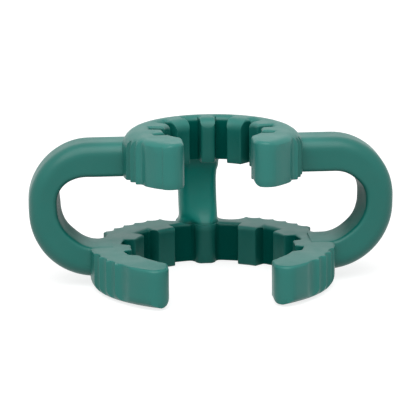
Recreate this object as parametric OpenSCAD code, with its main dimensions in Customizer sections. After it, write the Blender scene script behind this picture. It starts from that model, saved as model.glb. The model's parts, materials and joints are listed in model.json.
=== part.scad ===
// Ground glass joint clip, moulded in one piece.
// The origin is on the jaw axis, in the plane that the clip stands on. The mouths of both jaws face -Y,
// the two handle loops reach along X, and the jaw axis is +Z.

/* [Large jaw] */
// Bore over the rib tips of the large jaw, which grips the socket
large_bore_d = 29; // [27:0.5:31]
// Wall of the large jaw from rib tip to knurl crest
large_wall = 7.2; // [6.6:0.1:8.4]
// Height of the large jaw
large_h = 7.2; // [6:0.1:9]
// Width of the mouth of the large jaw
large_mouth = 18; // [14:0.2:19]

/* [Small jaw] */
// Bore over the rib tips of the small jaw, which grips the tube above the cone
small_bore_d = 17.2; // [16:0.2:19]
// Wall of the small jaw from rib tip to knurl crest
small_wall = 7.2; // [6.6:0.1:8]
// Height of the small jaw
small_h = 8; // [7:0.1:9.5]
// Width of the mouth of the small jaw
small_mouth = 12; // [9.6:0.2:12.4]

/* [Handles] */
// Clear height between the two jaws, which is also the height of the handle windows
window_h = 13; // [11:0.1:15]
// Width over both handle loops
span = 64.6; // [62:0.2:74]
// Thickness of a handle loop, seen from the front
handle_t = 5.5; // [4.8:0.1:6.2]
// Depth of a handle loop, front to back
handle_d = 7.4; // [6.2:0.1:8]
// Radius along the long edges of a handle loop
handle_round = 1.1; // [0.8:0.1:2.2]
// Distance of the handle loops behind the jaw axis
handle_back = 3.3; // [2.4:0.1:3.8]

/* [Grip ribs] */
// Height of a rib inside the large jaw
large_rib_h = 2.5; // [1.6:0.1:2.7]
// Height of a rib inside the small jaw
small_rib_h = 3; // [2:0.1:3.4]
// Width of a rib at its tip, large jaw
large_rib_w = 3.2; // [2.6:0.1:3.6]
// Width of a rib at its tip, small jaw
small_rib_w = 2.5; // [2:0.1:2.8]
// Angle from one rib of the large jaw to the next
large_rib_step = 30; // [28:0.5:31]
// Angle from one rib of the small jaw to the next
small_rib_step = 31.5; // [30:0.5:33]

/* [Knurl] */
// Angle from one knurl crest to the next
crest_step = 7.3; // [6.8:0.1:7.4]
// Depth of the hollow between two crests
hollow_depth = 0.7; // [0.4:0.05:0.9]
// Radius of the wide hollows beside the pillar and behind each handle
relief_r = 2.8; // [2.2:0.1:3]

/* [Pillar] */
// Width of the pillar that joins the jaws at the back
pillar_w = 6.7; // [5.4:0.1:7.2]
// Thickness of the pillar, front to back
pillar_t = 4.6; // [4.4:0.1:5.8]
// Sideways distance of the pillar from the middle
pillar_side = 1.1; // [0:0.1:1.4]

/* [Edges] */
// Radius of the outer rim underneath the large jaw
large_rim = 2; // [0.8:0.1:2.4]
// Radius of the outer rim on top of the small jaw
small_rim = 2.5; // [1:0.1:2.8]
// Radius of the bore edge underneath the large jaw
large_bore_round = 0.5; // [0.4:0.1:1.2]
// Radius of the bore edge on top of the small jaw
small_bore_round = 1.6; // [0.6:0.1:2]
// Radius of the outer corner at the end of each jaw arm
tip_round = 2.4; // [1:0.1:2.6]
// Radius of the inner corner at the end of each jaw arm
lip_round = 1.2; // [0.6:0.1:1.6]

/* [Hidden] */
$fn = 48;
fine_fn = 24;
hollow_fn = 20;

// How far a cutter reaches past the face that it cuts, and how deep a root is sunk into its wall
reach = 1;
sink = 0.4;

// A rounding is set this far over the faces that it joins, so that it meets them at a shallow angle
overlap = 0.04;

// Heights of the two jaws above the stand plane
small_z = large_h + window_h;
top_z = small_z + small_h;

// Radii of the jaws, each measured on the jaw axis
large_tip_r = large_bore_d / 2;
large_floor_r = large_tip_r + large_rib_h;
large_r = large_tip_r + large_wall;
small_tip_r = small_bore_d / 2;
small_floor_r = small_tip_r + small_rib_h;
small_r = small_tip_r + small_wall;

// How far the flank of a rib runs out sideways between its tip and its root. The middle rib is a little
// wider, has steeper flanks and has a soft nose.
rib_flank = 1.2;
nose_flank = 0.7;
nose_round = 1.1;
nose_extra = 0.3;

// The smooth pad of an arm starts this far round from the last rib
large_pad_gap = 23.5;
small_pad_gap = 22;

// The smooth end of an arm lies a little below the crests
arm_drop = 0.35;

// The hollow behind a handle is centred this far outside the crests, so it is shallower
relief_out = 1.2;

// The outside of the large jaw is centred a little behind its bore, so its back is the strongest part
large_off = 0.8;

// The bore floor between the ribs is centred this far behind the bore, so the grooves are deepest at the
// back and shallower towards the arms
large_floor_off = 0.8;
small_floor_off = 0.5;

// Handle loops, drawn in a little from the jaw faces. Each is a round lower bend and a tighter upper
// bend, with short straight runs between them.
face_gap = 0.12;
low_bend = window_h / 2 + face_gap + handle_t / 2;
high_bend = low_bend - 1.3;
bend_x = span / 2 - handle_t / 2;
low_z = large_h - face_gap - handle_t / 2;
high_z = large_h + window_h + face_gap + handle_t / 2;
root_fillet = 0.9;
arm_root = 1.2;
web_root = 1.5;

// Knurl: the flat that is left on a crest, and for each run the angle of its first crest from the back of
// the jaw and its number of hollows
crest_land = 0.16;
large_back_run = [21.6, 5];
large_front_run = [104, 4];
small_back_run = [28.4, 4];
small_front_run = [106.3, 3];

// Pillar: upright behind the large bore, with a head that steps forward into the wall of the small jaw
pillar_front = large_floor_r + 0.3;
pillar_back = pillar_front + pillar_t;
pillar_foot = large_rim + 0.3;
pillar_edge = 1.1;
pillar_top = small_z + small_h * 0.6;
head_front = small_floor_r + 0.7;
head_back = small_r + 0.8;
head_h = 2.6;
head_slope = 1;

function on_circle(r, a) = [r * sin(a), r * cos(a)];

// Rectangle with round corners, centred
module soft_rect(w, h, r) {
    square([w - 2 * r, h], center = true);
    square([w, h - 2 * r], center = true);
    for (x = [-1, 1], y = [-1, 1])
        translate([x * (w / 2 - r), y * (h / 2 - r)]) circle(r, $fn = fine_fn);
}

// A copy on each side of the middle plane
module both_sides() {
    children();
    mirror([1, 0, 0]) children();
}

// A run of concave hollows. Between two of them a narrow crest is left on the circle of radius r.
module hollows(r, run) {
    half_angle = (crest_step - asin(crest_land / r)) / 2;
    half_chord = r * sin(half_angle);
    depth = hollow_depth - r * (1 - cos(half_angle));
    hollow_r = (half_chord * half_chord + depth * depth) / (2 * depth);
    for (i = [0 : run[1] - 1])
        translate(on_circle(r - hollow_depth + hollow_r, run[0] + (i + 0.5) * crest_step))
            circle(hollow_r, $fn = hollow_fn);
}

// One rib with flat flanks, wide at its root, standing on the bore floor and pointing at the jaw axis
module rib(tip_r, floor_r, w, a) {
    rotate(-a)
        polygon([
            [-w / 2, tip_r - reach],
            [w / 2, tip_r - reach],
            [w / 2 + rib_flank, floor_r + sink],
            [-w / 2 - rib_flank, floor_r + sink]
        ]);
}

// The middle rib is a little wider and has a soft nose
module nose_rib(tip_r, floor_r, w) {
    half_w = w / 2 + nose_extra;
    half_top = half_w - 0.04;
    translate([0, tip_r + nose_round]) {
        for (x = [-1, 1])
            translate([x * (half_w - nose_round), 0]) circle(nose_round, $fn = fine_fn);
        translate([nose_round - half_w, -nose_round]) square([2 * (half_w - nose_round), nose_round]);
    }
    polygon([
        [-half_top, tip_r + nose_round],
        [half_top, tip_r + nose_round],
        [half_w + nose_flank, floor_r + sink],
        [-half_w - nose_flank, floor_r + sink]
    ]);
}

// What is cut away to round the outer corner of an arm end, where the mouth meets the outer circle
module outer_corner(r, half_mouth) {
    cx = half_mouth + tip_round;
    centre_r = r - tip_round + overlap;
    cy = -sqrt(centre_r * centre_r - cx * cx);
    touch = [cx, cy] * r / centre_r;
    difference() {
        polygon([
            [cx, cy],
            [half_mouth - reach, cy],
            [half_mouth - reach, -r - reach],
            [touch[0], -r - reach],
            touch
        ]);
        translate([cx, cy]) circle(tip_round, $fn = fine_fn);
    }
}

// What is cut away to round the inner corner of an arm end, where the mouth meets the bore
module inner_corner(r, half_mouth) {
    cx = half_mouth + lip_round;
    centre_r = r + lip_round - overlap;
    cy = -sqrt(centre_r * centre_r - cx * cx);
    touch = [cx, cy] * r / centre_r;
    difference() {
        polygon([
            [cx, cy],
            [half_mouth - reach, cy],
            [half_mouth - reach, touch[1] + reach],
            [touch[0], touch[1] + reach],
            touch
        ]);
        translate([cx, cy]) circle(lip_round, $fn = fine_fn);
    }
}

// The bore of a jaw seen from above, with its ribs and the smooth pads at the arm ends
module bore_plan(tip_r, floor_r, floor_off, w, rib_step, pad_gap, mouth) {
    pad_start = 3 * rib_step + pad_gap;
    difference() {
        translate([0, floor_off]) circle(floor_r - floor_off);
        difference() {
            union() {
                nose_rib(tip_r, floor_r, w);
                for (i = [1 : 3])
                    both_sides() rib(tip_r, floor_r, w, i * rib_step);
                both_sides()
                    polygon([
                        [0, 0],
                        on_circle(2 * floor_r, pad_start),
                        [2 * floor_r, -3 * floor_r],
                        [0, -3 * floor_r]
                    ]);
            }
            circle(tip_r);
        }
    }
    translate([-mouth / 2, -3 * floor_r]) square([mouth, 3 * floor_r]);
    both_sides() inner_corner(tip_r, mouth / 2);
}

// The outer edge of a jaw seen from above
module rim_plan(r, mouth, back_run, front_run) {
    knurl_end = r * cos(front_run[0] + (front_run[1] - 0.5) * crest_step);
    difference() {
        union() {
            circle(r - arm_drop);
            intersection() {
                circle(r);
                translate([-2 * r, knurl_end]) square([4 * r, 4 * r]);
            }
        }
        both_sides() {
            hollows(r, back_run);
            hollows(r, front_run);
            outer_corner(r - arm_drop, mouth / 2);
            translate(on_circle(r, back_run[0] - asin(relief_r / r))) circle(relief_r, $fn = fine_fn);
        }
    }
}

// The wide hollow that runs into the back face of each handle
module handle_relief(r, off) {
    y = handle_back + handle_d / 2 + relief_r;
    both_sides()
        translate([sqrt(pow(r + relief_out, 2) - pow(y - off, 2)), y]) circle(relief_r, $fn = fine_fn);
}

// Cutter that rounds an outer edge of radius r at height 0
module outer_edge(r, rim) {
    rotate_extrude()
        difference() {
            translate([r - rim, -reach]) square([rim + reach, rim + reach]);
            translate([r - rim + overlap, rim - overlap]) circle(rim, $fn = hollow_fn);
        }
}

// Cutter that rounds a bore edge of radius r at height 0
module bore_edge(r, edge) {
    rotate_extrude()
        difference() {
            translate([r - reach, -reach]) square([edge + reach, edge + reach]);
            translate([r + edge - overlap, edge - overlap]) circle(edge, $fn = hollow_fn);
        }
}

// Large jaw, standing on its rounded face
module large_jaw() {
    difference() {
        linear_extrude(large_h)
            difference() {
                translate([0, large_off])
                    rim_plan(large_r, large_mouth, large_back_run, large_front_run);
                bore_plan(
                    large_tip_r, large_floor_r, large_floor_off, large_rib_w, large_rib_step,
                    large_pad_gap, large_mouth
                );
                handle_relief(large_r, large_off);
            }
        translate([0, large_off, 0]) outer_edge(large_r, large_rim);
        bore_edge(large_tip_r, large_bore_round);
    }
}

// Small jaw, with its rounded face upward
module small_jaw() {
    translate([0, 0, top_z]) mirror([0, 0, 1])
        difference() {
            linear_extrude(small_h)
                difference() {
                    rim_plan(small_r, small_mouth, small_back_run, small_front_run);
                    bore_plan(
                        small_tip_r, small_floor_r, small_floor_off, small_rib_w, small_rib_step,
                        small_pad_gap, small_mouth
                    );
                }
            outer_edge(small_r, small_rim);
            bore_edge(small_tip_r, small_bore_round);
        }
}

// Section of a handle loop
module handle_section() {
    soft_rect(handle_t, handle_d, handle_round);
}

// Quarter bend of middle radius r that ends on the outermost line of the loop, turning up (1) or down (-1)
module handle_bend(r, z, turn) {
    translate([bend_x - r, handle_back, z]) rotate([90, 0, 0]) rotate([0, 0, turn > 0 ? -90 : 0])
        rotate_extrude(angle = 90)
            translate([r, 0]) handle_section();
}

// Straight arm of a handle at height z, from x_start outward to x_end
module handle_arm(x_start, x_end, z) {
    translate([x_start, handle_back, z]) rotate([0, 90, 0]) linear_extrude(x_end - x_start)
        handle_section();
}

// Fillet in the corner between the front face of a handle arm and the jaw wall of radius r
module root_web(r, off, z) {
    y = handle_back - handle_d / 2 - root_fillet;
    x = sqrt(pow(r + root_fillet, 2) - pow(y - off, 2));
    h = handle_t - 2 * handle_round;
    translate([0, 0, z - h / 2]) linear_extrude(h)
        difference() {
            polygon([
                [x, y],
                [r - web_root, y],
                [r - web_root, y + root_fillet + sink],
                [x, y + root_fillet + sink]
            ]);
            translate([x, y]) circle(root_fillet, $fn = fine_fn);
        }
}

// Handle loop on the +X side
module handle() {
    handle_bend(low_bend, low_z + low_bend, 1);
    translate([bend_x, handle_back, low_z + low_bend])
        linear_extrude(high_z - high_bend - low_z - low_bend) handle_section();
    handle_bend(high_bend, high_z - high_bend, -1);
    handle_arm(large_floor_r + arm_root, bend_x - low_bend, low_z);
    handle_arm(small_floor_r + arm_root, bend_x - high_bend, high_z);
    root_web(large_r, large_off, low_z);
    root_web(small_r, 0, high_z);
}

// Outline of the pillar from the side, drawn as (y, z)
module pillar_side_view() {
    polygon([
        [pillar_front, pillar_foot],
        [pillar_back, pillar_foot],
        [pillar_back, small_z - head_h - head_slope],
        [head_back, pillar_top],
        [head_front, pillar_top],
        [head_front, small_z - head_h],
        [pillar_front, small_z - head_h - head_slope]
    ]);
}

// Pillar with its long edges rounded
module pillar() {
    depth = pillar_back - head_front;
    intersection() {
        translate([-pillar_side - pillar_w, 0, 0]) rotate([90, 0, 90]) linear_extrude(2 * pillar_w)
            pillar_side_view();
        translate([-pillar_side, pillar_back - depth / 2, 0]) linear_extrude(pillar_top + reach)
            soft_rect(pillar_w, depth, pillar_edge);
    }
}

module clip_body() {
    color([0.25, 0.5, 0.45])
        union() {
            large_jaw();
            small_jaw();
            both_sides() handle();
            pillar();
        }
}

clip_body();
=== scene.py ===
# %% [markdown]
# # A moulded clip for a ground glass joint
# This clip holds the two halves of a conical glass joint together. It is one piece of springy teal plastic:
# a large C-shaped jaw grips the rim of the socket, a small jaw grips the tube above the cone, a pillar
# joins them at the back, and a finger loop stands out on each side.
#
# We could soften the edges of the construction model with a bevel, but a bevel trips over hundreds of short
# edges. Here every part of the skin is worked out again as a surface with its own roundings, so that each
# edge catches the light as moulded plastic does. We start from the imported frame, which says where all is.

import json

import bpy
import numpy as np
from mathutils import Matrix, Vector


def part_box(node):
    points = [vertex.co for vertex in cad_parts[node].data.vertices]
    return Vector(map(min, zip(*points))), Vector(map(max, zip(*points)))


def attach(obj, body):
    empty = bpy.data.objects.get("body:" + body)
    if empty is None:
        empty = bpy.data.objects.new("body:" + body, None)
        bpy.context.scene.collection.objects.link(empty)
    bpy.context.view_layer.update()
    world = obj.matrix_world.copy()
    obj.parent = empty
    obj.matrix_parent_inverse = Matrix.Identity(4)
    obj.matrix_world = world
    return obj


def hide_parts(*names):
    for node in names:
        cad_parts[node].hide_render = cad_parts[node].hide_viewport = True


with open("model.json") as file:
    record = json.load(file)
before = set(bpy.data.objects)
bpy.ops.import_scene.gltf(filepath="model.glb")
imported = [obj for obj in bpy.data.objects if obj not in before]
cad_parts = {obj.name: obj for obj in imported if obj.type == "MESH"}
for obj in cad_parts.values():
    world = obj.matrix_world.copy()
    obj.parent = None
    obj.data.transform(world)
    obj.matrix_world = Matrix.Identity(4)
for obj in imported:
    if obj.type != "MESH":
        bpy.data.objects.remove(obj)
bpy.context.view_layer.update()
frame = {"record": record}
MM = 0.001

box_low, box_high = (np.array(corner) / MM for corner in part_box("clip_body"))
mounts = {m["name"]: m for m in frame["record"]["mounts"]}
print("clip box in mm:", np.round(box_low, 2), np.round(box_high, 2))

# %% [markdown]
# ## The sizes of the two jaws
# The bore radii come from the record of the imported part, because glassware has to fit them, and the overall
# height, depth and span come from its box. The other sizes belong to the moulding: how deep its grip ribs
# are, how fine its knurl is, and how far each edge is rounded. All of them are in millimetres and degrees.
# An angle is counted from the back of the clip, where the pillar stands, round to the mouth at the front.
#
# In the tables below, tip, floor and outer are the radii over the ribs, of the groove floor and of the
# crests, while floor_off and centre_y say how far behind the bore the last two circles are centred. The
# mouth is given as its left and right half. A run of knurl hollows is the angle where it starts and their
# number. The nose is the half width, tip radius and flank of the middle rib. A mark is a faint ridge along
# an arm: its angle, height and width.

# %% Name the sizes
LARGE_TIP, SMALL_TIP = (mounts[name]["dims"]["r_mm"] for name in ("large_jaw", "small_jaw"))
LARGE_RIB_H, SMALL_RIB_H = 2.5, 3.0
SMALL_WALL = 7.2
OUTER_OFF = 0.8
LARGE = dict(
    tip=LARGE_TIP,
    floor=LARGE_TIP + LARGE_RIB_H,
    outer=box_high[1] - OUTER_OFF,
    centre_y=OUTER_OFF,
    floor_off=0.8,
    mouth=(8.85, 9.2),
    z=(0.0, 7.2),
    rib_w=3.2,
    rib_step=30.0,
    pad_start=113.5,
    back_run=(21.6, 5),
    relief_depth=2.8,
    front_run=((102.0, 4), (104.1, 4)),
    blend_from=136.0,
    handle_relief=True,
    nose=(1.95, 1.6, 0.62),
    marks=([(144.5, 0.03, 0.6)], [(148.9, 0.07, 0.5)]),
)
SMALL = dict(
    tip=SMALL_TIP,
    floor=SMALL_TIP + SMALL_RIB_H,
    outer=SMALL_TIP + SMALL_WALL,
    centre_y=0.0,
    floor_off=0.5,
    mouth=(5.75, 6.2),
    z=(20.2, box_high[2]),
    rib_w=2.5,
    rib_step=31.5,
    pad_start=116.5,
    back_run=(28.4, 4),
    relief_depth=0.9,
    front_run=((103.4, 3), (100.2, 3)),
    blend_from=130.0,
    handle_relief=False,
    nose=(1.3, 0.5, 0.25),
    marks=([(141.6, -0.15, 2.3), (146.4, 0.08, 1.6)], [(142.0, -0.09, 2.0), (147.5, 0.03, 1.5)]),
)
LOOP_Y, LOOP_D = 3.3, 7.4
print("bores over the ribs: %.1f and %.1f mm" % (2 * LARGE["tip"], 2 * SMALL["tip"]))

# %% [markdown]
# ## The outline of a jaw, seen from above
# The outline is one closed line with two very different sides. Outside runs the knurl: a row of concave
# hollows with narrow crests between them, which stops the fingers from slipping. Inside stand the ribs that
# press on the glass. We draw each side as a dense line of points from the back round to the end of the
# right arm. A soft running average then rounds every corner a little, since no mould has a truly sharp one.

# %% Points on a circle
DRAWN_STEP = 0.03


def on_circle(r, angle, centre_y=0.0):
    """Point at radius r and angle degrees from the back: x = r sin a, y = r cos a."""
    a = np.radians(angle)
    return np.stack([r * np.sin(a), r * np.cos(a) + centre_y], -1)


def arc(centre, r, start, stop):
    """Points along a circle from one angle to another, about a drawn step apart."""
    count = max(3, int(abs(np.radians(stop - start)) * r / DRAWN_STEP))
    return np.asarray(centre) + on_circle(r, np.linspace(start, stop, count))


print("a quarter circle of 10 mm: %d points" % len(arc((0, 0), 10, 0, 90)))


# %% Length along a line, and even steps
def length_along(line):
    """Running length: the sum of the distances between neighbouring points."""
    return np.concatenate([[0.0], np.cumsum(np.linalg.norm(np.diff(line, axis=0), axis=1))])


def even(line, step=DRAWN_STEP):
    """The same line with its points an equal distance apart."""
    run = length_along(line)
    at = np.linspace(0, run[-1], int(run[-1] / step) + 1)
    return np.stack([np.interp(at, run, line[:, k]) for k in range(line.shape[1])], -1)


print("a quarter circle of 10 mm is %.2f mm long" % length_along(arc((0, 0), 10, 0, 90))[-1])


# %% An S-shaped ease
def smooth_step(x):
    """Eases from 0 to 1: 3x^2 - 2x^3."""
    x = np.clip(x, 0, 1)
    return x * x * (3 - 2 * x)


print("the ease at 0, a quarter, a half, three quarters and 1:", smooth_step(np.linspace(0, 1, 5)))


# %% The outer side: knurl and reliefs
CREST_STEP, CREST_LAND = 7.3, 0.16
HOLLOW_DEPTH = 0.7
RELIEF_R, RELIEF_OUT = 2.8, 1.2
ARM_DROP, ARM_EASE = 0.35, 6.0


def knurl_radius(jaw, angle, side):
    """Distance of the outer wall from its centre: the smallest of the outer circle, the smooth arm's
    circle, and the near side of each hollow, a circle of radius h whose centre is c away, which lies at
    c cos a - sqrt(h^2 - c^2 sin^2 a). The last hollow runs out softly into the arm, and each faint mark
    along an arm adds a low bell-shaped ridge."""
    r = jaw["outer"]
    half = (CREST_STEP - np.degrees(np.arcsin(CREST_LAND / r))) / 2
    chord = r * np.sin(np.radians(half))
    depth = HOLLOW_DEPTH - r * (1 - np.cos(np.radians(half)))
    h = (chord**2 + depth**2) / (2 * depth)
    cuts = []
    for first, count in (jaw["back_run"], jaw["front_run"][side]):
        cuts += [(first + (i + 0.5) * CREST_STEP, r - HOLLOW_DEPTH + h, h) for i in range(count)]
    last = cuts[-1][0]
    out = RELIEF_R - jaw["relief_depth"]
    chord = np.sqrt(RELIEF_R**2 - out**2)
    cuts.append((jaw["back_run"][0] - np.degrees(np.arcsin(chord / r)), r + out, RELIEF_R))
    if jaw["handle_relief"]:
        y = LOOP_Y + LOOP_D / 2 + RELIEF_R - jaw["centre_y"]
        cuts.append((np.degrees(np.arccos(y / (r + RELIEF_OUT))), r + RELIEF_OUT, RELIEF_R))
    wall = np.full(len(angle), r)
    for middle, c, h in cuts:
        off = np.radians(angle - middle)
        inside = h**2 - (c * np.sin(off)) ** 2
        near = c * np.cos(off) - np.sqrt(np.maximum(inside, 0))
        wall = np.where((inside > 0) & (np.abs(off) < 1), np.minimum(wall, near), wall)
    rise = (HOLLOW_DEPTH - ARM_DROP) * smooth_step((angle - last) / ARM_EASE)
    wall = np.where(angle > last, r - HOLLOW_DEPTH + rise, wall)
    for at, height, width in jaw["marks"][side]:
        wall = wall + height * np.exp(-0.5 * ((angle - at) / width) ** 2)
    return wall


walls = knurl_radius(LARGE, np.array([0.0, 135.0]), 0)
print("large jaw, radius at the back and on the arm:", np.round(walls, 2))

# %% The outer side with the round corner of the arm end
TIP_ROUND = 2.4
ANGLE_STEP = 0.05


def outer_side(jaw, side):
    """From the back along the knurled wall to where the flat end of the arm begins, on side 0 or 1."""
    r = jaw["outer"] - ARM_DROP
    corner_x = jaw["mouth"][side] + TIP_ROUND
    corner_y = -np.sqrt((r - TIP_ROUND) ** 2 - corner_x**2)
    touch = 180 - np.degrees(np.arctan2(corner_x, -corner_y))
    angle = np.arange(0, touch, ANGLE_STEP)
    wall = on_circle(knurl_radius(jaw, angle, side), angle)
    line = np.concatenate([wall, arc((corner_x, corner_y), TIP_ROUND, touch, 270)[1:]])
    return line + [0, jaw["centre_y"]]


for name, jaw in (("large", LARGE), ("small", SMALL)):
    print(name, "outer sides end at", [np.round(outer_side(jaw, side)[-1], 2).tolist() for side in (0, 1)])


# %% One rib
RIB_FLANK = 0.744


def rib_line(jaw, at, half_tip, flank, nose=None):
    """One rib standing on the bore floor, as its outline from one root to the other: flat flanks, and a
    tip that follows the bore circle or, for the middle rib, a soft nose. The floor is a circle centred a
    little behind the bore, so seen along the rib it is moved by that distance times cos and sin."""
    tip = jaw["tip"]
    turn = np.radians(at)
    roots = np.array([-1, 1]) * (half_tip + flank)
    aside, ahead = jaw["floor_off"] * np.sin(turn), jaw["floor_off"] * np.cos(turn)
    reach = ahead + np.sqrt((jaw["floor"] - jaw["floor_off"]) ** 2 - (roots + aside) ** 2)
    if nose is None:
        across = np.linspace(-half_tip, half_tip, 60)
        top = np.stack([across, np.sqrt(tip**2 - across**2)], -1)
    else:
        left = arc((nose - half_tip, tip + nose), nose, -90, -180)
        right = arc((half_tip - nose, tip + nose), nose, -180, -270)
        top = np.concatenate([left, right])
    line = np.concatenate([[[roots[0], reach[0]]], top, [[roots[1], reach[1]]]])
    x, y = line.T
    return np.stack([x * np.cos(turn) + y * np.sin(turn), y * np.cos(turn) - x * np.sin(turn)], -1)


rib = rib_line(LARGE, 0.0, LARGE["rib_w"] / 2, RIB_FLANK)
print("a rib at the back goes from y = %.2f to %.2f mm" % (rib[:, 1].max(), rib[:, 1].min()))

# %% The inner side: ribs, grooves, the smooth pad and the lip
PAD_WALL_TURN = 2.5
TIP_EXTRA = 0.15
LIP_ROUND = 1.2


def inner_side(jaw, side):
    """From the middle of the nose rib along the bore to where the flat end of the arm begins."""
    tip = jaw["tip"]
    middle = np.array([0, jaw["floor_off"]])
    floor = jaw["floor"] - jaw["floor_off"]
    half_nose, nose_r, nose_flank = jaw["nose"]
    nose = rib_line(jaw, 0.0, half_nose, nose_flank, nose=nose_r)
    parts = [nose[nose[:, 0] >= 0]]
    for i in (1, 2, 3):
        rib = rib_line(jaw, i * jaw["rib_step"], jaw["rib_w"] / 2 + TIP_EXTRA, RIB_FLANK)
        start = np.degrees(np.arctan2(*(parts[-1][-1] - middle)))
        stop = np.degrees(np.arctan2(*(rib[0] - middle)))
        parts += [arc(middle, floor, start, stop)[1:-1], rib]
    start = np.degrees(np.arctan2(*(parts[-1][-1] - middle)))
    parts.append(arc(middle, floor, start, jaw["pad_start"] - PAD_WALL_TURN)[1:])
    corner_x = jaw["mouth"][side] + LIP_ROUND
    corner_y = -np.sqrt((tip + LIP_ROUND) ** 2 - corner_x**2)
    touch = 180 - np.degrees(np.arctan2(corner_x, -corner_y))
    parts.append(arc((0, 0), tip, jaw["pad_start"], touch))
    parts.append(arc((corner_x, corner_y), LIP_ROUND, touch - 180, -90)[1:])
    return np.concatenate(parts)


for name, jaw in (("large", LARGE), ("small", SMALL)):
    print(name, "inner sides end at", [np.round(inner_side(jaw, side)[-1], 2).tolist() for side in (0, 1)])

# %% [markdown]
# ## Joining the two sides into a grid
# A jaw is a bent box: its top and bottom are grids of points between the outer and the inner side. Each
# grid line runs straight across the wall, so both sides need points that belong together. Up to the last
# crest a pair shares its angle. After that the lines swing round bit by bit until the last one lies along
# the flat end of the arm. Points are placed close together where a side bends sharply, and far apart where
# it runs smoothly, which keeps the mesh light.


# %% Round the corners of a line
OUTER_BLUR, INNER_BLUR = 0.07, 0.2


def softened(line, blur):
    """Running average of the points, weighted by a bell curve of the given width along the line, with the
    line mirrored at the back of the clip and carried straight on at its other end."""
    line = even(line)
    reach = int(4 * blur / DRAWN_STEP)
    offsets = np.arange(-reach, reach + 1) * DRAWN_STEP
    bell = np.exp(-0.5 * (offsets / blur) ** 2)
    before = line[reach:0:-1] * [-1, 1]
    after = 2 * line[-1] - line[-2 : -reach - 2 : -1]
    padded = np.concatenate([before, line, after])
    return np.stack([np.convolve(padded[:, k], bell / bell.sum(), "valid") for k in (0, 1)], -1)


drawn = inner_side(LARGE, 1)
lengths = [length_along(line)[-1] for line in (drawn, softened(drawn, INNER_BLUR))]
print("an inner side is %.1f mm long, and softened %.1f mm" % tuple(lengths))

# %% Number the points of the two sides, and pick out those that matter
SWING_SPAN = 20


def pairing(jaw, line):
    """Number that belongs to each point: its angle from the back up to where the lines start to swing,
    then the share of the remaining length, spread over the swing. A tiny slope keeps it rising."""
    angle = np.degrees(np.unwrap(np.arctan2(line[:, 0], line[:, 1])))
    run = length_along(line)
    start = np.searchsorted(angle, jaw["blend_from"])
    share = np.clip((run - run[start]) / (run[-1] - run[start]), 0, 1)
    key = np.where(np.arange(len(line)) < start, angle, jaw["blend_from"] + SWING_SPAN * share)
    return np.maximum.accumulate(key + np.arange(len(key)) * 1e-7)


def kept_keys(line, key, longest, turn):
    """Keys of the points to keep: steps of equal weight, where weight is length over the longest step plus
    the angle turned over the largest turn."""
    run = length_along(line)
    heading = np.unwrap(np.arctan2(np.gradient(line[:, 1]), np.gradient(line[:, 0])))
    weight = run / longest + np.concatenate([[0], np.cumsum(np.abs(np.diff(heading)))]) / np.radians(turn)
    return np.interp(np.linspace(0, weight[-1], int(weight[-1]) + 2), weight, key)


print("numbers run from 0 to", [jaw["blend_from"] + SWING_SPAN for jaw in (LARGE, SMALL)])


# %% Matching points on both sides
def half_of(jaw, side, longest=0.45, turn=18.0, closest=0.04):
    """Matching points on the outer and the inner side of one half, from the back to the end of the arm."""
    outer = softened(outer_side(jaw, side), OUTER_BLUR)
    inner = softened(inner_side(jaw, side), INNER_BLUR)
    last_key = jaw["blend_from"] + SWING_SPAN
    outer_key, inner_key = pairing(jaw, outer), pairing(jaw, inner)
    keys = np.concatenate(
        [kept_keys(outer, outer_key, longest, turn), kept_keys(inner, inner_key, longest, turn)]
    )
    keys = np.unique(np.clip(keys, 0, last_key))
    keys = keys[np.concatenate([[True], np.diff(keys) > closest])]
    keys[-1] = last_key
    half = [
        np.stack([np.interp(keys, key, line[:, k]) for k in (0, 1)], -1)
        for key, line in ((outer_key, outer), (inner_key, inner))
    ]
    for line in half:
        line[0, 0] = 0.0
        line[-1, 0] = jaw["mouth"][side]
    return half


def sides_of(jaw):
    """Matching points on the outer and the inner side, from the end of the left arm to the right."""
    return [
        np.concatenate([left[:0:-1] * [-1, 1], right])
        for left, right in zip(half_of(jaw, 0), half_of(jaw, 1))
    ]


for name, jaw in (("large", LARGE), ("small", SMALL)):
    print(name, "jaw:", len(sides_of(jaw)[0]), "lines across the wall")

# %% [markdown]
# ## The roundings
# Each edge of the real clip has its own radius. The rim that meets the fingers is broad and soft, the bore
# edge of the small jaw is soft too so that it slides over the glass, and the top of the large jaw is almost
# sharp. We think of the top as a landscape over the outline: near an edge it drops away along a quarter
# circle. Where two such drops meet, the larger wins, with a small blend. That is how the knurl fades out
# towards the top of the small jaw by itself.


# %% How far a surface drops near an edge
def drop(distance, radius):
    """Quarter-circle rounding: r - sqrt(r^2 - (r - d)^2) at distance d from the edge, nothing past r."""
    short = np.clip(radius - distance, 0, radius)
    return radius - np.sqrt(np.maximum(radius**2 - short**2, 0))


def blended(*drops):
    """Blend of several drops: the sixth root of the sum of their sixth powers."""
    return sum(np.asarray(d) ** 6 for d in drops) ** (1 / 6)


print("a 2 mm rounding drops:", np.round(drop(np.arange(0, 2.1, 0.5), 2.0), 2))


# %% Distance to an outline
PARTS = 24


def distance_to(starts, stops, points):
    """Distance of each point to the nearest of many straight pieces, the length of p - a - t b, where t is
    the share along the piece nearest to the point. The points go through in parts to save memory."""
    a = starts.astype(np.float32)
    b = stops.astype(np.float32) - a
    long2 = np.maximum((b**2).sum(1), 1e-12)
    found = []
    for part in np.array_split(points.astype(np.float32), PARTS):
        d = part[:, None] - a
        t = np.clip((d * b).sum(2) / long2, 0, 1)
        found.append(np.sqrt(((d - t[..., None] * b) ** 2).sum(2).min(1)))
    return np.concatenate(found)


bow = arc((0, 0), 10, 0, 90)
away = distance_to(bow[:-1], bow[1:], np.zeros((1, 2)))
print("the centre of a 10 mm arc is %.2f mm off it" % away[0])

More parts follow.
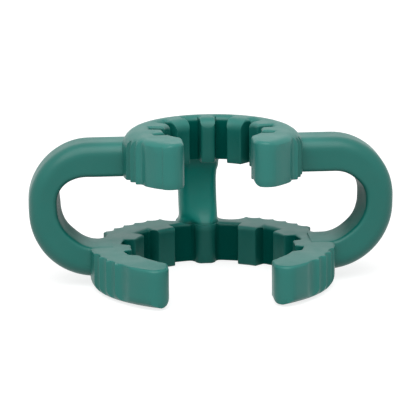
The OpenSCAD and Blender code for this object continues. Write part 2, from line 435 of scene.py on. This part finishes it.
# %% Points across the wall
ROUND_POINTS = 8
WALL_SHARE = 0.42


def across(outer, inner, rim, edge, inside=4):
    """Points along each grid line: a quarter-circle spacing within the rim radius of the outer side and
    within the edge radius of the inner side, and even steps between."""
    width = np.linalg.norm(inner - outer, axis=1)[:, None]
    swing = 1 - np.cos(np.radians(np.linspace(0, 90, ROUND_POINTS)))
    near = np.minimum(rim * swing, width * WALL_SHARE)
    far = width - np.minimum(edge * swing[::-1], width * WALL_SHARE)
    gap = np.linspace(0, 1, inside + 2)[1:-1]
    middle = near[:, -1:] + gap * (far[:, :1] - near[:, -1:])
    share = np.concatenate([near, middle, far], axis=1) / width
    return outer[:, None] + share[..., None] * (inner - outer)[:, None]


points = across(np.array([[0.0, 0.0]]), np.array([[0.0, 10.0]]), 2.0, 1.0)
print("a 10 mm wall has its points at", np.round(points[0, :, 1], 2))

# %% A jaw as a bent box
FLOOR_MARGIN = 0.15


def jaw_surface(jaw, top_drop, bottom_rise, rim, edge, rows=5):
    """Closed surface over a grid of points across the wall: the top at its height less top_drop, the
    bottom at its height plus bottom_rise, and straight rows of faces between their borders."""
    outer, inner = sides_of(jaw)
    plan = across(outer, inner, rim, edge)
    n, m = plan.shape[:2]
    outline = np.concatenate([outer, inner[::-1]])
    flat = plan.reshape(-1, 2)
    gap = distance_to(outline, np.roll(outline, -1, axis=0), flat)
    from_middle = np.hypot(inner[:, 0], inner[:, 1] - jaw["floor_off"])
    deep = from_middle > jaw["floor"] - jaw["floor_off"] - FLOOR_MARGIN
    floors = np.flatnonzero(deep[1:] & deep[:-1])
    groove_gap = distance_to(inner[floors], inner[floors + 1], flat)
    top = jaw["z"][1] - top_drop(flat, gap, groove_gap)
    bottom = jaw["z"][0] + bottom_rise(flat, gap, groove_gap)
    index = np.arange(n * m).reshape(n, m)
    border = np.concatenate([index[:, 0], index[-1, 1:], index[-2::-1, -1], index[0, -2:0:-1]])
    levels = np.linspace(0, 1, rows + 2)[1:-1, None]
    walls = np.empty((rows, len(border), 3))
    walls[..., :2] = flat[border]
    walls[..., 2] = bottom[border] + levels * (top[border] - bottom[border])
    vertices = np.concatenate(
        [np.column_stack([flat, top]), np.column_stack([flat, bottom]), walls.reshape(-1, 3)]
    )
    cell = np.stack([index[:-1, :-1], index[1:, :-1], index[1:, 1:], index[:-1, 1:]], -1).reshape(-1, 4)
    rings = np.concatenate(
        [[border + n * m], 2 * n * m + np.arange(rows * len(border)).reshape(rows, -1), [border]]
    )
    following = np.roll(rings, -1, axis=1)
    side = np.stack([rings[:-1], rings[1:], following[1:], following[:-1]], -1).reshape(-1, 4)
    return vertices, np.concatenate([cell[:, ::-1], cell + n * m, side])


# %% The large jaw stands on its rounded side
LARGE_RIM = 2.0


def end_gap(jaw, points):
    """Distance from the flat end of the arm on the same side, and a large one behind the jaw's middle."""
    gap = np.abs(points[:, 0]) - np.where(points[:, 0] < 0, *jaw["mouth"])
    return np.where(points[:, 1] < 0, gap, jaw["outer"])


def from_back_of(points):
    """Angle of each point from the back of the jaw, the same on both sides."""
    return np.degrees(np.arctan2(np.abs(points[:, 0]), points[:, 1]))


def to_side(points):
    """0 round the back of a jaw and 1 along its sides and arms, on an S-shaped ease between."""
    return smooth_step((from_back_of(points) - 40) / 25)


def large_top(points, gap, groove_gap):
    """Crisp along the knurl, a little softer along the arm fronts, and softest on the ribs and grooves at
    the back. The top stays up where the web of the pillar stands on the middle rib."""
    from_axis = np.hypot(points[:, 0], points[:, 1])
    aside = to_side(points)
    below_web = (np.abs(points[:, 0]) < 3.2) & (points[:, 1] > 0)
    free = np.where(below_web, smooth_step((np.abs(points[:, 0]) - 1.7) / 1.2), 1)
    return free * blended(
        drop(gap, 0.22 + 0.28 * smooth_step((from_back_of(points) - 131) / 5)),
        drop(groove_gap, 0.9 - 0.6 * aside),
        drop(from_axis - LARGE["tip"], 0.9 - 0.6 * aside),
    )


def large_under(points, gap, groove_gap):
    """A broad rim outside, a small bore edge inside, and an underside that lifts a little towards the
    arm ends, with a soft heel at their very end."""
    from_axis = np.hypot(points[:, 0], points[:, 1])
    from_centre = np.hypot(points[:, 0], points[:, 1] - LARGE["centre_y"])
    lift = 0.4 * smooth_step((-points[:, 1] - 1) / 17)
    heel_r = np.where(points[:, 0] < 0, 1.7, 1.0)
    heel = drop(end_gap(LARGE, points), heel_r) * smooth_step((-points[:, 1] - 9) / 3)
    return lift + blended(
        drop((LARGE["outer"] - from_centre), LARGE_RIM),
        drop(from_axis - LARGE["tip"], 0.45),
        drop(gap, 0.25),
        heel,
    )


large_part = jaw_surface(LARGE, large_top, large_under, rim=LARGE_RIM, edge=0.9)
print("large jaw: %d points, %d faces" % tuple(map(len, large_part)))


# %% The small jaw has its rounded side on top
SMALL_RIM = 2.9


def small_top(points, gap, groove_gap):
    """A broad rim that narrows along the arms, a soft bore edge inside, and soft groove edges."""
    from_axis = np.hypot(points[:, 0], points[:, 1])
    on_arm = smooth_step((-points[:, 1] - 2) / 7)
    aside = to_side(points)
    return blended(
        drop(SMALL["outer"] - 0.2 * on_arm - from_axis, SMALL_RIM - 1.5 * on_arm),
        drop(from_axis - SMALL["tip"], 2.2 - 1.4 * aside),
        drop(groove_gap, 1.2 - 0.8 * aside),
        drop(gap, 0.6),
        drop(end_gap(SMALL, points), 0.8),
    )


def small_under(points, gap, groove_gap):
    """A nearly sharp lower edge with a soft heel at the arm ends."""
    heel_r = np.where(points[:, 0] < 0, 0.8, 1.4)
    heel = drop(end_gap(SMALL, points), heel_r) * smooth_step((-points[:, 1] - 5) / 3)
    return blended(drop(gap, 0.2), heel)


small_part = jaw_surface(SMALL, small_top, small_under, rim=SMALL_RIM, edge=1.6)
print("small jaw: %d points, %d faces" % tuple(map(len, small_part)))

# %% [markdown]
# ## The finger loops
# Each loop is a band that leaves the large jaw, bends up and round, and comes back into the small jaw. On
# the real clip its lower arm lies flush with the top of the large jaw, its outer front edge is the roundest
# one, and it is thinnest half way up, where the inner face also comes in towards the back so that the mould
# can open. A curve with a bevel would give every corner of the band the same radius and every stretch the
# same thickness. So we carry a profile along the path ourselves: at each step the profile has its own outer
# and inner face and its own draft, and each of its four corners has a radius of its own.

# %% The path of a loop, seen from the front
# The lower arm lies a hair below the top of the jaw, because a union goes wrong where two faces coincide.
WINDOW = SMALL["z"][0] - LARGE["z"][1]
LOOP_T = 5.3
FLUSH = 0.004
WINDOW_GAP = 0.12
TIGHTER = 1.3
ARM_ENDS = 17.6, 13.0
PATH_STEP = 0.35


def loop_path(bend_step=3.0):
    """Middle line of the right loop in x and z, its outward normal, and how far round it is from 0 to 1:
    a straight arm, a quarter circle, a short rise, a tighter quarter circle and a straight arm back."""
    low_r = WINDOW / 2 + WINDOW_GAP + LOOP_T / 2
    high_r = low_r - TIGHTER
    x_out = box_high[0] - LOOP_T / 2
    z_low, z_high = LARGE["z"][1] - FLUSH - LOOP_T / 2, SMALL["z"][0] + WINDOW_GAP + LOOP_T / 2
    turn = np.radians(np.arange(0, 90 + bend_step, bend_step))
    low = np.stack([x_out - low_r + low_r * np.sin(turn), z_low + low_r - low_r * np.cos(turn)], -1)
    high = np.stack([x_out - high_r + high_r * np.cos(turn), z_high - high_r + high_r * np.sin(turn)], -1)
    start = np.array([[ARM_ENDS[0], z_low]])
    stop = np.array([[ARM_ENDS[1], z_high]])
    line = even(np.concatenate([start, low, high, stop]), PATH_STEP)
    step = np.gradient(line, axis=0)
    step /= np.linalg.norm(step, axis=1)[:, None]
    normal = np.stack([step[:, 1], -step[:, 0]], -1)
    heading = np.unwrap(np.arctan2(step[:, 1], step[:, 0]))
    return line, normal, heading / np.pi


path, normal, round_by = loop_path()
print("loop path: %d steps, %.1f mm long" % (len(path), length_along(path)[-1]))


# %% A rounded profile with four radii
def profile(width, depth, radii, corner_steps=7, side_steps=4):
    """Rounded box outlines, one for each row of sizes, as points in (out, back): each corner is a quarter
    circle about a centre one radius in from both sides. Corners run front inner, front outer, back outer,
    back inner."""
    out, back = [], []
    signs = ((-1, -1), (1, -1), (1, 1), (-1, 1))
    swing = np.radians(np.linspace(0, 90, corner_steps + 1))
    for k, (sx, sy) in enumerate(signs):
        r = radii[:, k : k + 1]
        turn = swing if sx * sy > 0 else swing[::-1]
        out.append(sx * (width[:, None] / 2 - r + r * np.cos(turn)))
        back.append(sy * (depth[:, None] / 2 - r + r * np.sin(turn)))
    out_line, back_line = [], []
    for k in range(4):
        nxt = (k + 1) % 4
        out_line.append(out[k])
        back_line.append(back[k])
        share = np.linspace(0, 1, side_steps + 2)[1:-1]
        out_line.append(out[k][:, -1:] + share * (out[nxt][:, :1] - out[k][:, -1:]))
        back_line.append(back[k][:, -1:] + share * (back[nxt][:, :1] - back[k][:, -1:]))
    return np.concatenate(out_line, axis=1), np.concatenate(back_line, axis=1)


CORNER_R = (0.8, 2.2, 1.2, 0.8)
ring = profile(np.array([LOOP_T]), np.array([LOOP_D]), np.array([CORNER_R]))
print("a profile has %d points" % ring[0].size)


# %% A closed tube through rings of points
def swept(rings):
    """Closed tube through rings of points, with a fan of faces over each end."""
    n, m = rings.shape[:2]
    index = np.arange(n * m).reshape(n, m)
    following = np.roll(index, -1, axis=1)
    quads = np.stack([index[:-1], following[:-1], following[1:], index[1:]], -1).reshape(-1, 4)
    vertices = np.concatenate([rings.reshape(-1, 3), rings[0].mean(0)[None], rings[-1].mean(0)[None]])
    first = np.stack([index[0], np.full(m, n * m), following[0]], -1)
    last = np.stack([following[-1], np.full(m, n * m + 1), index[-1]], -1)
    return vertices, quads, np.concatenate([first, last])


print("a tube through 3 such rings: %d points" % len(swept(np.zeros((3, ring[0].size, 3)))[0]))

# %% The two loops
LOOP_SIDES = {
    -1: dict(
        outer=[2.75, 2.85, 2.75, 2.65, 2.65, 2.65, 2.8, 3.0, 3.0],
        inner=[2.65, 2.85, 2.45, 2.15, 2.05, 2.2, 2.65, 2.95, 2.95],
        draft=[0.2, 0.6, 0.8, 1.05, 0.95, 0.5, 0.2, 0.1],
    ),
    1: dict(
        outer=[2.7, 2.65, 2.65, 2.65, 2.75, 2.85, 2.95, 3.0, 3.0],
        inner=[2.65, 3.0, 2.6, 2.2, 2.35, 2.75, 2.85, 2.95, 2.95],
        draft=[0.4, 0.4, 0.6, 0.95, 0.95, 0.55, 0.15, 0.1],
    ),
}
ROUND_AT = [0.0, 0.22, 0.38, 0.5, 0.61, 0.72, 0.85, 0.98, 1.0]
DRAFT_AT = [0.0, 0.2, 0.36, 0.47, 0.54, 0.62, 0.8, 1.0]
RUN = 9


def along_loop(at, values):
    """Values given at some shares of the path, straight between them, then smoothed by a running mean."""
    value = np.interp(round_by, at, values)
    return np.convolve(np.pad(value, RUN // 2, mode="edge"), np.ones(RUN) / RUN, "valid")


def loop_part(side):
    """One finger loop: the profile stands across the path. Its outer and inner face keep given distances
    from the path, and the inner face comes in towards the back by the draft."""
    shape = LOOP_SIDES[side]
    outer, inner = (along_loop(ROUND_AT, shape[face]) for face in ("outer", "inner"))
    draft = along_loop(DRAFT_AT, shape["draft"])
    width = outer + inner
    depth = np.full(len(path), LOOP_D)
    radii = np.stack([np.full(len(path), r) for r in CORNER_R], -1)
    out, back = profile(width, depth, radii)
    across_share = 0.5 - out / width[:, None]
    out = out + (outer - inner)[:, None] / 2
    out = out - draft[:, None] * across_share * (0.5 + back / LOOP_D)
    rings = np.empty(out.shape + (3,))
    rings[..., 0] = side * (path[:, :1] + normal[:, :1] * out)
    rings[..., 1] = LOOP_Y + back
    rings[..., 2] = path[:, 1:] + normal[:, 1:] * out
    return swept(rings)


loops = [loop_part(side) for side in (1, -1)]
print("a loop: %d points" % len(loops[0][0]))

# %% [markdown]
# ## The pillar
# The pillar carries the small jaw above the back of the large one. It leans a touch, is slightly waisted,
# and flares into the jaws at both ends, because a sharp inner corner would crack when the jaws spring
# open. Its head sweeps forward into the small jaw, and a web runs from its front down into the middle rib
# of the large one. Its outline changes with height, so we stack the same rounded profile upwards, with its
# four sides moving as they rise, and draw the web out of the front as a bell.

# %% The pillar as a stack of profiles
HEAD_SWEEP, HEAD_FROM, HEAD_SPAN = 9.3, 12.6, 7.8
FOOT_TOP, FLARE_R = 7.1, 1.3
FRONT, FRONT_SET_BACK = 16.65, 0.75
BACK, BACK_LEAN = 21.9, 4.7
WEB_DEPTH, WEB_LOW, WEB_LENGTH = 2.0, 6.9, 5.0
WEB_BEFORE = 18.5


def web_depth(x, height):
    """How far the web stands out of the pillar: a bell across, exp(-(|x| / half)^power), which starts
    as wide as the middle rib and grows wider and rounder as it rises, times a parabola that is steep at
    the rib and runs out level with the pillar."""
    open_out = smooth_step((height - WEB_LOW) / 2.6)
    half, power = 1.85 + 1.35 * open_out, 4 - 1.5 * open_out
    fade = np.clip(1 - (height - WEB_LOW) / WEB_LENGTH, 0, 1) ** 2
    return WEB_DEPTH * fade * np.exp(-((np.abs(x) / half) ** power))


def pillar_part():
    """Stack of rounded boxes: the left and right sides run straight between given heights, the front and
    back follow an S-shaped ease, and the head sweeps forward along a circle, r - sqrt(r^2 - rise^2). The
    web to the middle rib is drawn out of the front side."""
    height = np.concatenate([[2.3, 4.0, 5.2], np.linspace(5.6, 11.4, 34), np.linspace(11.8, 25.0, 26)])
    flare = np.where(height < FOOT_TOP, 1.0, drop(height - FOOT_TOP, FLARE_R) / FLARE_R)
    left = np.interp(height, [2.3, 7.1, 9.5, 14, 20, 25], [-4.4, -4.45, -4.55, -4.68, -4.75, -4.75])
    right = np.interp(height, [2.3, 7.1, 10, 15.5, 17.2, 18.2, 25], [2.2, 2.4, 2.3, 2.15, 2.2, 2.45, 2.3])
    front = FRONT + FRONT_SET_BACK * (1 - smooth_step((height - 5.9) / 1.9))
    over = np.clip(height - HEAD_FROM, 0, HEAD_SPAN)
    front = front - (HEAD_SWEEP - np.sqrt(HEAD_SWEEP**2 - over**2))
    back = BACK - smooth_step((height - 15.0) / 7) * BACK_LEAN
    radii = np.stack([np.full(len(height), r) for r in (2.0, 1.3, 1.3, 1.3)], -1)
    out, deep = profile(right - left + 1.2 * flare, back - front, radii, side_steps=16)
    x = (left + right)[:, None] / 2 + out
    y = (front + back)[:, None] / 2 + deep
    level = np.broadcast_to(height[:, None], x.shape)
    y = np.where(y < WEB_BEFORE, y - web_depth(x, level), y)
    return swept(np.stack([x, y, level], -1))


pillar = pillar_part()
print("pillar: %d points" % len(pillar[0]))

# %% [markdown]
# ## One moulding
# The real clip comes out of its mould in one piece, so the parts are united into one closed skin. Left as
# separate shells they would cut through each other, and the inside faces would end up in the mesh. A
# Boolean union removes everything that lies inside and leaves a clean line where two parts meet. A part
# whose volume comes out below zero is inside out, so its faces are turned round first.


# %% Put the surfaces into meshes
def mesh_object(name, vertices, *faces):
    """Mesh object from points in millimetres and arrays of faces."""
    mesh = bpy.data.meshes.new(name)
    mesh.from_pydata(vertices * MM, [], sum((group.tolist() for group in faces), []))
    mesh.validate()
    made = bpy.data.objects.new(name, mesh)
    bpy.context.scene.collection.objects.link(made)
    return made


def signed_volume(mesh):
    """Volume under the mesh: the sum over its triangles of a . (b x c) / 6, above zero if it faces out."""
    mesh.calc_loop_triangles()
    corners = np.empty(len(mesh.loop_triangles) * 3, dtype=np.int32)
    mesh.loop_triangles.foreach_get("vertices", corners)
    points = np.empty(len(mesh.vertices) * 3)
    mesh.vertices.foreach_get("co", points)
    a, b, c = (points.reshape(-1, 3)[corners.reshape(-1, 3)[:, k]] for k in range(3))
    return np.einsum("ij,ij->i", a, np.cross(b, c)).sum() / 6 / MM**3


shells = [mesh_object("large_jaw_shell", *large_part), mesh_object("small_jaw_shell", *small_part)]
shells += [mesh_object("loop_shell_%d" % i, *part) for i, part in enumerate(loops)]
shells.append(mesh_object("pillar_shell", *pillar))
for shell in shells:
    volume = signed_volume(shell.data)
    if volume < 0:
        shell.data.flip_normals()
    print("%s: %d faces, %.0f mm3" % (shell.name, len(shell.data.polygons), volume))

# %% The union
SHARP_FROM = 38
clip = shells[0]
clip.name = "moulded_clip"
for shell in shells[1:]:
    join = clip.modifiers.new("join_" + shell.name, "BOOLEAN")
    join.operation = "UNION"
    join.solver = "MANIFOLD"
    join.object = shell
united = bpy.data.meshes.new_from_object(clip.evaluated_get(bpy.context.evaluated_depsgraph_get()))
clip.modifiers.clear()
clip.data = united
united.name = "moulded_clip"
for shell in shells[1:]:
    bpy.data.objects.remove(shell)
united.set_sharp_from_angle(angle=np.radians(SHARP_FROM))
uses = np.zeros(len(united.edges), dtype=int)
edge_of = np.empty(len(united.loops), dtype=np.int32)
united.loops.foreach_get("edge_index", edge_of)
np.add.at(uses, edge_of, 1)
united.calc_loop_triangles()
print(
    "moulded clip: %d triangles, %.0f mm3, %d open edges"
    % (len(united.loop_triangles), signed_volume(united), (uses != 2).sum())
)

# %% Keep the skin inside the clip's own box
# Roundings and ridges may stand a few hundredths of a millimetre proud. Each side of the skin that
# reaches too far is drawn in towards the middle by the share that brings it back.
INSIDE = 0.99999
skin = np.empty(len(united.vertices) * 3)
united.vertices.foreach_get("co", skin)
skin = skin.reshape(-1, 3)
draw_low = np.minimum(1, INSIDE * box_low[:2] * MM / skin.min(0)[:2])
draw_high = np.minimum(1, INSIDE * box_high[:2] * MM / skin.max(0)[:2])
skin[:, :2] *= np.where(skin[:, :2] < 0, draw_low, draw_high)
united.vertices.foreach_set("co", skin.ravel())
united.update()
print("sides drawn in to:", np.round(draw_low, 5), np.round(draw_high, 5))

# %% [markdown]
# ## The plastic
# Acetal is coloured through and comes out of the mould with a satin gloss. Light and shade are painted into
# its colour here: painted shade darkens the deep grooves and the inside of the loops, painted light makes the
# front of the slim pillar clear and bright, and a painted sheen makes the arm ends and the flat tops a little
# paler. Every point of the skin gets its own painted light for this, worked out from where it lies, and the
# material turns it into colour. Faint noise on the object's own coordinates then breaks up the colour and
# the gloss, and a fine bump stands for the grain of the mould.

# %% Painted shade in the grooves
NEAR = 0.1
PAD_MARGIN = 6
point = np.empty(len(united.vertices) * 3)
united.vertices.foreach_get("co", point)
point = point.reshape(-1, 3) / MM
facing = np.empty(len(united.vertices) * 3)
united.vertices.foreach_get("normal", facing)
facing = facing.reshape(-1, 3)
aside = np.abs(point[:, 0])
behind = point[:, 1]
height = point[:, 2]
upright = 1 - smooth_step((np.abs(facing[:, 2]) - 0.15) / 0.6)


def in_bore(jaw):
    """1 on the upright faces inside a bore and 0 elsewhere, and the share of the rib height there."""
    level = (height > jaw["z"][0] - NEAR) & (height < jaw["z"][1] + NEAR)
    from_middle = np.hypot(point[:, 0], point[:, 1] - jaw["floor_off"])
    floor = jaw["floor"] - jaw["floor_off"]
    inside = level & (from_middle < floor + NEAR) & (from_back_of(point) < jaw["pad_start"] + PAD_MARGIN)
    return inside * upright, np.clip((from_middle - floor) / (jaw["floor"] - jaw["tip"]) + 1, 0, 1)


tone = np.zeros((len(point), 3))
# Painted shade: upright faces inside each bore are darkened, most at the groove floors.
for jaw in (LARGE, SMALL):
    inside, depth = in_bore(jaw)
    tone[:, 0] = np.maximum(tone[:, 0], inside * (0.45 + 0.55 * smooth_step(depth)))

# %% Painted shade inside the loops, painted sheen on arms and tops, painted light on the pillar
# The inside of a loop is told by how far a face looks towards the middle of the loop, and gets painted shade.
# The three numbers of the painted light are the groove (painted shade), the arm (painted sheen) and the
# pillar (painted light).
LOOP_MIDDLE = np.array([20.8, 13.8])
UPPER_HALF = 12
PILLAR_MIDDLE, PILLAR_HALF = -1.1, 4.6
upper = height > UPPER_HALF
to_middle = LOOP_MIDDLE - np.stack([aside, height], -1)
to_middle /= np.linalg.norm(to_middle, axis=1)[:, None]
inward = (np.stack([facing[:, 0] * np.sign(point[:, 0]), facing[:, 2]], -1) * to_middle).sum(1)
in_loop = smooth_step((aside - np.where(upper, 15.5, 20.5)) / 4.5)
# Painted shade on the faces inside each loop.
tone[:, 0] = np.maximum(tone[:, 0], 0.95 * in_loop * smooth_step((inward - 0.55) / 0.4))
# Painted sheen: the arm fronts, the upper arms most, and the faces turned up on the jaws are made paler, but
# not where shade is painted.
arm = smooth_step((-behind - 3) / 5) * np.where(upper, 1.0, 0.55)
top_sheen = 0.6 * smooth_step((facing[:, 2] - 0.3) / 0.5) * (1 - smooth_step((aside - 17) / 6))
tone[:, 1] = np.maximum(arm, top_sheen) * (1 - smooth_step(tone[:, 0] / 0.3))
# Painted light: the front of the pillar between the jaws is made bright and clear, fading towards its back.
on_pillar = (np.abs(point[:, 0] - PILLAR_MIDDLE) < PILLAR_HALF) & (behind > 11.5)
on_pillar = on_pillar * (1 - smooth_step((behind - 18.0) / 2.5))
between = smooth_step((height - WEB_LOW) / 1.2) * (1 - smooth_step((height - 17.0) / 3.5))
tone[:, 2] = between * on_pillar
# Painted shade on the upper pillar, under the small jaw.
tone[:, 0] = np.maximum(tone[:, 0], 0.75 * on_pillar * between * smooth_step((height - 12.5) / 6))
stored = united.attributes.new("tone", "FLOAT_VECTOR", "POINT")
stored.data.foreach_set("vector", tone.ravel())
print("tones: %.0f%% groove, %.0f%% arm, %.0f%% pillar" % tuple(100 * (tone > 0.3).mean(0)))

# %% Satin teal plastic
plastic = bpy.data.materials.new("green_acetal")
plastic.use_nodes = True
nodes, links = plastic.node_tree.nodes, plastic.node_tree.links
shader = nodes["Principled BSDF"]
shader.inputs["IOR"].default_value = 1.48
place = nodes.new("ShaderNodeTexCoord")


def noise(scale, detail):
    """Noise over the object, scale in cycles per metre."""
    made = nodes.new("ShaderNodeTexNoise")
    made.inputs["Scale"].default_value = scale
    made.inputs["Detail"].default_value = detail
    links.new(place.outputs["Object"], made.inputs["Vector"])
    return made.outputs["Fac"]


def ramp(source, low, high):
    """Turns a noise value into a span of values or colours."""
    made = nodes.new("ShaderNodeValToRGB")
    made.color_ramp.elements[0].position = 0.3
    made.color_ramp.elements[1].position = 0.7
    made.color_ramp.elements[0].color = low
    made.color_ramp.elements[1].color = high
    links.new(source, made.inputs["Fac"])
    return made.outputs["Color"]


def towards(colour, other, amount):
    """Mixes a colour towards another by an amount."""
    made = nodes.new("ShaderNodeMix")
    made.data_type = "RGBA"
    made.inputs["B"].default_value = other
    links.new(colour, made.inputs["A"])
    links.new(amount, made.inputs["Factor"])
    return made.outputs["Result"]


# Beside the plain teal, the groove colour is painted shade, the arm colour a painted sheen and the pillar
# colour painted light. Where shade is painted the gloss drops as well, so the shaded faces show no
# reflection.
TEAL = (0.010, 0.155, 0.128, 1), (0.013, 0.172, 0.143, 1)
PAINTED_GROOVE_SHADE = (0.0, 0.098, 0.078, 1)
PAINTED_SHEEN = (0.026, 0.225, 0.192, 1)
PAINTED_PILLAR_LIGHT = (0.0, 0.31, 0.255, 1)
SHINE, SHADED_SHINE = 0.42, 0.02
SATIN = (0.36, 0.36, 0.36, 1), (0.45, 0.45, 0.45, 1)
GRAIN_DEPTH = 0.03 * MM
reader = nodes.new("ShaderNodeAttribute")
reader.attribute_name = "tone"
split = nodes.new("ShaderNodeSeparateXYZ")
links.new(reader.outputs["Vector"], split.inputs["Vector"])
colour = ramp(noise(90, 3), *TEAL)
for amount, other in zip(split.outputs, (PAINTED_GROOVE_SHADE, PAINTED_SHEEN, PAINTED_PILLAR_LIGHT)):
    colour = towards(colour, other, amount)
links.new(colour, shader.inputs["Base Color"])
shine = nodes.new("ShaderNodeMapRange")
shine.inputs["To Min"].default_value = SHINE
shine.inputs["To Max"].default_value = SHADED_SHINE
links.new(split.outputs[0], shine.inputs["Value"])
links.new(shine.outputs["Result"], shader.inputs["Specular IOR Level"])
links.new(ramp(noise(350, 4), *SATIN), shader.inputs["Roughness"])
grain = nodes.new("ShaderNodeBump")
grain.inputs["Strength"].default_value = 0.25
grain.inputs["Distance"].default_value = GRAIN_DEPTH
links.new(noise(5200, 2), grain.inputs["Height"])
links.new(grain.outputs["Normal"], shader.inputs["Normal"])
united.materials.clear()
united.materials.append(plastic)
print("material nodes:", len(nodes))

# %% [markdown]
# ## Even light on the flat faces
# The tops of a real jaw are flat right up to their small roundings. With plain smooth shading the light
# would bend over the whole top, because its corners share their normals with the roundings. More rows of
# faces beside each edge would help, at the cost of a heavy mesh. A modifier that takes each normal from the
# largest faces around it does the same without a single new face.

# %% Keep the flat faces flat
even_light = clip.modifiers.new("even_light", "WEIGHTED_NORMAL")
even_light.keep_sharp = True
even_light.weight = 60
print("modifiers on the clip:", [m.name for m in clip.modifiers])

# %% Tie the piece to the frame
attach(clip, "root")
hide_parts("clip_body")
print("the moulded clip stands for clip_body")

# %% [markdown]
# ## Floor, light and camera
# The clip stands on a plain floor in a white room. One large soft light comes from above and in front, and
# the room fills in from all sides, so that the tops are bright, the fronts are even and the grooves stay
# deep. The floor and the room only look white to the camera and in reflections. For the light that falls on
# the clip they are much dimmer, or the plastic would wash out.


# %% Rays that should find the room white
def white_rays(tree):
    """1 for rays from the camera, mirrored rays and rays passing through, 0 for all other rays."""
    ray = tree.nodes.new("ShaderNodeLightPath")
    found = ray.outputs["Is Camera Ray"]
    for kind in ("Is Glossy Ray", "Is Transmission Ray"):
        either = tree.nodes.new("ShaderNodeMath")
        either.operation = "MAXIMUM"
        tree.links.new(found, either.inputs[0])
        tree.links.new(ray.outputs[kind], either.inputs[1])
        found = either.outputs[0]
    return found


def strength(tree, other, white, socket):
    """Sets a strength to one level for the white rays and to another for all other rays."""
    level = tree.nodes.new("ShaderNodeMapRange")
    level.inputs["To Min"].default_value = other
    level.inputs["To Max"].default_value = white
    tree.links.new(white_rays(tree), level.inputs["Value"])
    tree.links.new(level.outputs["Result"], socket)


# %% A white floor that keeps the shadow
# The floor lies a hair below the clip, because two faces in one plane would flicker through each other.
FLOOR_HALF = 3.0
FLOOR_Z = -0.02 * MM
FLOOR_GREY, FLOOR_GLOW = 0.4, 0.8
floor_mesh = bpy.data.meshes.new("floor")
corners = FLOOR_HALF * np.array([(-1, -1), (1, -1), (1, 1), (-1, 1)])
floor_mesh.from_pydata([(x, y, FLOOR_Z) for x, y in corners], [], [(0, 1, 2, 3)])
floor = bpy.data.objects.new("floor", floor_mesh)
bpy.context.scene.collection.objects.link(floor)
paint = bpy.data.materials.new("white_floor")
paint.use_nodes = True
cover = paint.node_tree.nodes["Principled BSDF"]
cover.inputs["Base Color"].default_value = (FLOOR_GREY, FLOOR_GREY, FLOOR_GREY, 1)
cover.inputs["Roughness"].default_value = 1.0
cover.inputs["Specular IOR Level"].default_value = 0.0
cover.inputs["Emission Color"].default_value = (1, 1, 1, 1)
strength(paint.node_tree, 0.0, FLOOR_GLOW, cover.inputs["Emission Strength"])
floor_mesh.materials.append(paint)
print("floor %.0f m wide, %.2f mm below the clip" % (2 * FLOOR_HALF, -FLOOR_Z / MM))

# %% The room and the sky light
ROOM_FILL, ROOM_WHITE = 0.35, 1.0
SKY_ENERGY, SKY_ANGLE = 2.2, 60
SKY_FROM = Vector((-0.15, -0.65, 1.0))
world = bpy.data.worlds.new("white_room")
bpy.context.scene.world = world
world.use_nodes = True
background = world.node_tree.nodes["Background"]
background.inputs["Color"].default_value = (1, 1, 1, 1)
strength(world.node_tree, ROOM_FILL, ROOM_WHITE, background.inputs["Strength"])
sky = bpy.data.lights.new("sky_light", "SUN")
sky.energy = SKY_ENERGY
sky.angle = np.radians(SKY_ANGLE)
sky_object = bpy.data.objects.new("sky_light", sky)
sky_object.rotation_euler = SKY_FROM.to_track_quat("Z", "Y").to_euler()
bpy.context.scene.collection.objects.link(sky_object)
print("sky light from %.0f degrees up" % np.degrees(np.arcsin(SKY_FROM.normalized().z)))

# %% The camera
# It looks at the middle of the clip from a little to the left and above. The lens is the sensor width times
# the distance, shared by the width of the view at the clip.
AZIMUTH, ELEVATION, ROLL = np.radians([-4.9, 13.5, -0.35])
DISTANCE = 0.46
VIEW_WIDTH = 0.074204947
SENSOR = 36
LENS = SENSOR * DISTANCE / VIEW_WIDTH
AIM = Vector((-0.0004, 0.00083, 0.0134))
back = Vector(
    (np.sin(AZIMUTH) * np.cos(ELEVATION), -np.cos(AZIMUTH) * np.cos(ELEVATION), np.sin(ELEVATION))
)
right = Vector((np.cos(AZIMUTH), np.sin(AZIMUTH), 0))
up = back.cross(right)
tilted_right = np.cos(ROLL) * right + np.sin(ROLL) * up
tilted_up = np.cos(ROLL) * up - np.sin(ROLL) * right
lens_data = bpy.data.cameras.new("camera")
lens_data.lens = LENS
lens_data.sensor_width = SENSOR
lens_data.clip_start = 0.01
camera = bpy.data.objects.new("camera", lens_data)
stands_at = AIM + DISTANCE * back
rows = [(tilted_right[i], tilted_up[i], back[i], stands_at[i]) for i in range(3)]
camera.matrix_world = Matrix(rows + [(0, 0, 0, 1)])
bpy.context.scene.collection.objects.link(camera)
bpy.context.scene.camera = camera
bpy.context.scene.view_settings.view_transform = "Standard"
print("lens %.1f mm at %.2f m" % (LENS, DISTANCE))
